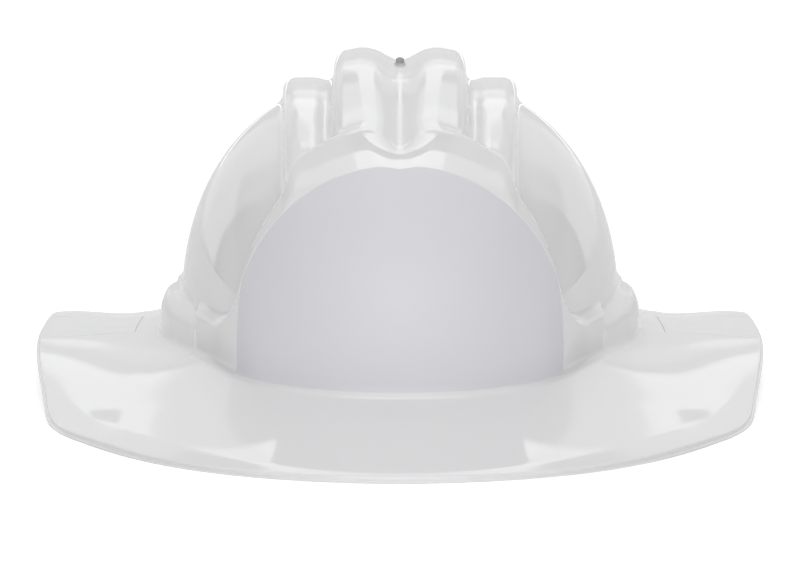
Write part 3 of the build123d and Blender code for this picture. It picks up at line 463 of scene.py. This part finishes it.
# the upper face, then the lip with its step and rounded edge, then the underside
rows = 34
under_rows = rows - 10
upper_inset = 2.6
under_inset = 1.5
brim_thickness = 2.5
edge_reach = np.linalg.norm(edge, axis=1)
start_share = 1.095 / root_ratio(edge[:, 0], edge[:, 1])
lip_steps = [
    (2.2, 0.0), (1.6, 0.02), (1.3, 0.15), (1.2, 0.4), (1.2, 1.2), (1.12, 1.36), (0.9, 1.4), (0.4, 1.4),
    (0.1, 1.5), (0.0, 1.7), (0.0, 2.2), (0.12, 2.42), (0.5, brim_thickness),
]
loops = []
for i in range(rows):
    share = start_share + (1 - upper_inset / edge_reach - start_share) * i / (rows - 1)
    loops.append((edge * share[:, None], 0.0))
for inset, depth in lip_steps:
    loops.append((edge * (1 - inset / edge_reach)[:, None], depth))
for i in range(under_rows):
    share = 1 - under_inset / edge_reach + (start_share - 1 + under_inset / edge_reach) * i / (under_rows - 1)
    loops.append((edge * share[:, None], brim_thickness))
brim_points = []
for flat, depth in loops:
    height = np.maximum(brim_top(flat[:, 0], flat[:, 1]) - depth, 0)
    brim_points.append(np.column_stack([flat, height]))
brim_points = np.concatenate(brim_points)
around, across = len(edge), len(loops)
brim_faces = []
for j in range(across):
    k = (j + 1) % across
    for i in range(around):
        n = (i + 1) % around
        brim_faces.append((j * around + i, k * around + i, k * around + n, j * around + n))


def cut(piece, low, high, operation):
    """Cuts a piece with an upright box, or keeps only what is inside it."""
    corners = [(x, y, z) for x in (low[0], high[0]) for y in (low[1], high[1]) for z in (low[2], high[2])]
    sides = [(0, 1, 3, 2), (4, 6, 7, 5), (0, 4, 5, 1), (2, 3, 7, 6), (0, 2, 6, 4), (1, 5, 7, 3)]
    mesh = bpy.data.meshes.new("cutter")
    mesh.from_pydata([tuple(v * MM for v in corner) for corner in corners], [], sides)
    cutter = bpy.data.objects.new("cutter", mesh)
    bpy.context.scene.collection.objects.link(cutter)
    change = piece.modifiers.new("cut", "BOOLEAN")
    change.solver = "EXACT"
    change.operation = operation
    change.object = cutter
    bpy.context.view_layer.update()
    result = bpy.data.meshes.new_from_object(piece.evaluated_get(bpy.context.evaluated_depsgraph_get()))
    piece.modifiers.clear()
    piece.data = result
    bpy.data.objects.remove(cutter)


brim_crease = math.radians(35)
brim = new_piece("shell_brim", brim_points, brim_faces, white_plastic)
for side, name in ((1, "left"), (-1, "right")):
    insert = new_piece(f"brim_insert_{name}_piece", brim_points, brim_faces, white_plastic)
    x_near, x_far = sorted((side * 123.7, side * 200.0))
    cut(insert, (x_near, -1.8, -10), (x_far, 42.8, 60), "INTERSECT")
    insert.data.set_sharp_from_angle(angle=brim_crease)
    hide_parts(f"brim_insert_{name}")
    x_near, x_far = sorted((side * 123.5, side * 201.0))
    cut(brim, (x_near, -2.0, -11), (x_far, 43.0, 61), "DIFFERENCE")
brim.data.set_sharp_from_angle(angle=brim_crease)
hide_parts("shell")


# Key sockets
# Four square sockets are moulded on the crown's inner wall, in the same plastic. They are open below
# for the suspension's keys, and a web closes them above.
key_turn = math.radians(33.0)
key_direction = np.array([math.sin(key_turn), -math.cos(key_turn)])
wall_reach = 1 / math.hypot(key_direction[0] / 98.3, key_direction[1] / 123.0) - 2.6
socket_foot, socket_web, socket_top = 24.0, 42.0, 44.0
socket_profile = [
    (-13.0, 2.2), (-13.0, -7.0), (13.0, -7.0), (13.0, 2.2),
    (9.3, 2.2), (9.3, -5.4), (-9.3, -5.4), (-9.3, 2.2),
]


def turn_outward(piece):
    """Turns every face of a closed piece outward."""
    mesh = bmesh.new()
    mesh.from_mesh(piece.data)
    bmesh.ops.recalc_face_normals(mesh, faces=mesh.faces)
    mesh.to_mesh(piece.data)
    mesh.free()


for side in (1, -1):
    for end in (1, -1):
        away = np.array([side * key_direction[0], end * key_direction[1]])
        across = np.array([-away[1], away[0]])
        points = []
        for z in (socket_foot, socket_web, socket_top):
            for w, u in socket_profile:
                flat = away * (wall_reach + u) + across * w
                points.append((flat[0], flat[1], z))
        faces = [(k * 8 + i, k * 8 + (i + 1) % 8, k * 8 + 8 + (i + 1) % 8, k * 8 + 8 + i)
                 for k in range(2) for i in range(8)]
        faces += [(7, 6, 1, 0), (6, 5, 2, 1), (5, 4, 3, 2), (12, 13, 14, 15)]
        faces += [(16, 17, 22, 23), (17, 18, 21, 22), (18, 19, 20, 21), (20, 23, 22, 21)]
        socket = new_piece(f"shell_socket_{side + 1}_{end + 1}", points, faces, white_plastic, smooth=False)
        turn_outward(socket)
        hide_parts("shell")


# Webbing
# Two woven polyester tapes cross under the crown. Each end turns under and goes out through its key.
rise_reach = wall_reach - 7.2 - 1.1
tail_reach = wall_reach - 2.2 + 1.1
soft_crease = math.radians(50)


def strip_faces(count, n):
    """The faces of a closed piece made from a row of rings with n points each."""
    faces = [(i * n + j, i * n + (j + 1) % n, (i + 1) * n + (j + 1) % n, (i + 1) * n + j)
             for i in range(count - 1) for j in range(n)]
    return faces + [tuple(range(n))[::-1], tuple((count - 1) * n + j for j in range(n))]


def tape(name, side, top, node):
    """A flat tape along a path in the upright plane through two keys."""
    half = []
    rise = top - socket_foot
    for t in np.linspace(0, 1, 40):
        s = 3 * t * (1 - t) ** 2 * 0.6 * rise_reach + 3 * t * t * (1 - t) * rise_reach + t ** 3 * rise_reach
        z = (1 - t) ** 2 * (1 + 2 * t) * top
        z += 3 * t * t * (1 - t) * (socket_foot + 0.58 * rise) + t ** 3 * socket_foot
        half.append((s, z))
    half += [(rise_reach, 20.6), (rise_reach + 0.5, 19.5), (rise_reach + 1.4, 19.3)]
    half += [(tail_reach - 1.2, 19.3), (tail_reach - 0.3, 19.7), (tail_reach, 20.6), (tail_reach, 23.2)]
    path = np.array([(-s, z) for s, z in half[:0:-1]] + half)
    tangent = np.gradient(path, axis=0)
    tangent /= np.linalg.norm(tangent, axis=1)[:, None]
    normal = np.column_stack([-tangent[:, 1], tangent[:, 0]])
    section = [(-9.6, 0.7), (-5, 0.68), (0, 0.68), (5, 0.68), (9.6, 0.7), (10, 0.4), (10, -0.4)]
    section += [(-w, -h) for w, h in section[:5]] + [(-10, -0.4), (-10, 0.4)]
    away = np.array([side * key_direction[0], key_direction[1]])
    across = np.array([-away[1], away[0]])
    points = []
    for (s, z), (ns, nz) in zip(path, normal):
        for w, h in section:
            flat = (s + ns * h) * away + w * across
            points.append((flat[0], flat[1], z + nz * h))
    piece = new_piece(name, points, strip_faces(len(path), len(section)), webbing_cloth)
    turn_outward(piece)
    piece.data.set_sharp_from_angle(angle=soft_crease)
    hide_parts(node)


tape("upper_tape", 1, 112.0, "upper_crown_strap")
tape("lower_tape", -1, 110.0, "lower_crown_strap")


# Cushions
# The sweatband and nape pad are foam under knitted cloth, thickest along the middle, with stitched
# channels across. The crown pad is a thin foam disc.
def cushion(name, node, centre_y, middle_turn, half_turn):
    """A crowned cushion on the inside of the headband."""
    turns = np.linspace(-half_turn, half_turn, 160)
    outer, bottom, middle, top = 79.7, 11.0, 26.0, 41.0
    channel_turn = 13.0
    levels = np.linspace(-1, 1, 19)
    points = []
    for turn in turns:
        end = 1 - np.clip((abs(turn) - half_turn + 4) / 4, 0, 1) ** 2 * 0.5
        nearest = (turn / channel_turn - round(turn / channel_turn)) * channel_turn
        channel = 1 - 0.35 * math.exp(-(nearest / 0.9) ** 2)
        ring = [(outer, bottom + 0.6), (outer, top - 0.6), (outer - 0.6, top)]
        for level in levels[::-1]:
            depth = 2.2 + 2.4 * (1 - level ** 2) ** 0.7 * end * channel
            ring.append((outer - depth * (1 if abs(level) < 1 else 0.8), middle + 15.0 * level * 0.99))
        ring.append((outer - 0.6, bottom))
        angle = math.radians(middle_turn + turn)
        for reach, z in ring:
            points.append((reach * math.sin(angle), centre_y + reach * math.cos(angle), z))
    piece = new_piece(name, points, strip_faces(len(turns), len(ring)), pad_cloth)
    turn_outward(piece)
    piece.data.set_sharp_from_angle(angle=soft_crease)
    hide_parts(node)


cushion("brow_cushion", "sweatband", -20.0, 180.0, 78.0)
cushion("nape_cushion", "nape_pad", 8.0, 0.0, 34.0)

pad_top = 110.0 - 0.7 - 0.4
pad_radius = 34.0
pad_sides = 64
pad_rings = []
for share in np.linspace(0.02, 1, 16):
    pad_rings.append((pad_radius * share - (0.6 if share == 1 else 0), pad_top - 4.1 * share ** 2))
pad_rings.append((pad_radius, pad_top - 5.0))
for share in np.linspace(1, 0.02, 16):
    pad_rings.append((pad_radius * share - (0.6 if share == 1 else 0), pad_top - 5.0 - 1.1 * share ** 2))
pad_points = [(r * math.cos(a), r * math.sin(a), z) for r, z in pad_rings
              for a in np.linspace(0, 2 * math.pi, pad_sides, endpoint=False)]
pad_faces = []
for i in range(len(pad_rings) - 1):
    for j in range(pad_sides):
        k = (j + 1) % pad_sides
        near, far = i * pad_sides, (i + 1) * pad_sides
        pad_faces.append((near + j, far + j, far + k, near + k))
pad_faces.append(tuple(range(pad_sides)))
pad_faces.append(tuple((len(pad_rings) - 1) * pad_sides + j for j in range(pad_sides))[::-1])
crown_cushion = new_piece("crown_cushion", pad_points, pad_faces, pad_cloth)
turn_outward(crown_cushion)
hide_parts("crown_pad")


# Studio
# The photograph has a pure white ground. The room is drawn as bands of light that run from the front
# over the hat to the rear, with a dark gap near the top and dimmer walls at the sides. The glossy
# shell mirrors these bands, and the floor stays white and keeps the hat's shadow.
floor_mesh = bpy.data.meshes.new("floor")
floor_mesh.from_pydata([(-6, -4, 0), (6, -4, 0), (6, 8, 0), (-6, 8, 0)], [], [(0, 1, 2, 3)])
floor = bpy.data.objects.new("floor", floor_mesh)
bpy.context.scene.collection.objects.link(floor)
floor_material = bpy.data.materials.new("floor_white")
floor_material.use_nodes = True
floor_tree = floor_material.node_tree
floor_shader = floor_tree.nodes["Principled BSDF"]
floor_shader.inputs["Base Color"].default_value = (0.8, 0.8, 0.8, 1)
floor_shader.inputs["Roughness"].default_value = 1.0
floor_shader.inputs["Specular IOR Level"].default_value = 0.0
floor_shader.inputs["Emission Color"].default_value = (1, 1, 1, 1)
floor_path = floor_tree.nodes.new("ShaderNodeLightPath")
floor_glow = add_node(floor_tree, "ShaderNodeMapRange", To_Min=0.12, To_Max=0.5)
floor_tree.links.new(floor_path.outputs["Is Camera Ray"], floor_glow.inputs["Value"])
floor_tree.links.new(floor_glow.outputs["Result"], floor_shader.inputs["Emission Strength"])

# seen from below the floor is clear, so that the inside of the hat shows
floor_side = floor_tree.nodes.new("ShaderNodeNewGeometry")
floor_clear = floor_tree.nodes.new("ShaderNodeBsdfTransparent")
floor_mix = floor_tree.nodes.new("ShaderNodeMixShader")
floor_tree.links.new(floor_side.outputs["Backfacing"], floor_mix.inputs["Fac"])
floor_tree.links.new(floor_shader.outputs["BSDF"], floor_mix.inputs[1])
floor_tree.links.new(floor_clear.outputs["BSDF"], floor_mix.inputs[2])
floor_tree.links.new(floor_mix.outputs["Shader"], floor_tree.nodes["Material Output"].inputs["Surface"])
floor_mesh.materials.append(floor_material)

world = bpy.data.worlds.new("world")
bpy.context.scene.world = world
world.use_nodes = True
tree = world.node_tree
room = tree.nodes["Background"]
room.inputs["Strength"].default_value = 1.0
place = tree.nodes.new("ShaderNodeTexCoord")
split = tree.nodes.new("ShaderNodeSeparateXYZ")
tree.links.new(place.outputs["Generated"], split.inputs["Vector"])
ahead = tree.nodes.new("ShaderNodeMath")
ahead.operation = "MULTIPLY"
ahead.inputs[1].default_value = -1.0
tree.links.new(split.outputs["Y"], ahead.inputs[0])
turn = tree.nodes.new("ShaderNodeMath")
turn.operation = "ARCTAN2"
tree.links.new(split.outputs["Z"], turn.inputs[0])
tree.links.new(ahead.outputs["Value"], turn.inputs[1])
turn_share = tree.nodes.new("ShaderNodeMath")
turn_share.operation = "DIVIDE"
turn_share.inputs[1].default_value = math.pi
tree.links.new(turn.outputs["Value"], turn_share.inputs[0])


def bands(*steps):
    """Brightness by angle from the front horizon (0) over the hat to the rear horizon (180)."""
    ramp = tree.nodes.new("ShaderNodeValToRGB")
    ramp.color_ramp.interpolation = "LINEAR"
    edge_share = 0.002
    stops = [(steps[0][0] / 180, steps[0][1])]
    for before, after in zip(steps, steps[1:]):
        stops.append((after[0] / 180 - edge_share, before[1]))
        stops.append((after[0] / 180 + edge_share, after[1]))
    ramp.color_ramp.elements[0].position = 0.0
    ramp.color_ramp.elements[0].color = (stops[0][1],) * 3 + (1,)
    ramp.color_ramp.elements[1].position = 1.0
    ramp.color_ramp.elements[1].color = (stops[-1][1],) * 3 + (1,)
    for position, value in stops[1:]:
        element = ramp.color_ramp.elements.new(position)
        element.color = (value,) * 3 + (1,)
    tree.links.new(turn_share.outputs["Value"], ramp.inputs["Fac"])
    return ramp.outputs["Color"]


# each zone reaches further out to the sides than the one before it
zones = [
    bands((0, 2.4), (30, 1.05), (83, 3.0), (94.5, 0.0), (107.5, 2.4), (112, 1.9), (135, 1.6), (150, 1.1),
          (160, 0.78)),
    bands((0, 2.0), (30, 0.85), (83, 2.7), (94.5, 0.0), (107.5, 2.0), (112, 1.3), (126, 0.6), (135.5, 1.0),
          (147, 1.4), (152, 0.75), (156, 0.85), (165, 0.75)),
    bands((0, 1.1), (30, 0.5), (83, 1.2), (94.5, 0.4), (107.5, 0.7), (136, 1.0), (155, 0.95)),
    bands((0, 0.4), (35, 0.25), (124, 0.6), (155, 1.0)),
    bands((0, 0.05), (155, 0.3)),
]
zone_starts = (0.165, 0.29, 0.62, 0.80)
zone_ends = (0.18, 0.31, 0.68, 0.82)
aside = tree.nodes.new("ShaderNodeMath")
aside.operation = "ABSOLUTE"
tree.links.new(split.outputs["X"], aside.inputs[0])
light = zones[0]
for zone, start, end in zip(zones[1:], zone_starts, zone_ends):
    beside = add_node(tree, "ShaderNodeMapRange", From_Min=start, From_Max=end)
    tree.links.new(aside.outputs["Value"], beside.inputs["Value"])
    blend = tree.nodes.new("ShaderNodeMix")
    blend.data_type = "RGBA"
    tree.links.new(beside.outputs["Result"], blend.inputs["Factor"])
    tree.links.new(light, blend.inputs["A"])
    tree.links.new(zone, blend.inputs["B"])
    light = blend.outputs["Result"]
tree.links.new(light, room.inputs["Color"])

# the camera itself sees plain white behind the hat
white = add_node(tree, "ShaderNodeBackground", Color=(1, 1, 1, 1), Strength=1.0)
path = tree.nodes.new("ShaderNodeLightPath")
mix = tree.nodes.new("ShaderNodeMixShader")
tree.links.new(path.outputs["Is Camera Ray"], mix.inputs["Fac"])
tree.links.new(room.outputs["Background"], mix.inputs[1])
tree.links.new(white.outputs["Background"], mix.inputs[2])
tree.links.new(mix.outputs["Shader"], tree.nodes["World Output"].inputs["Surface"])
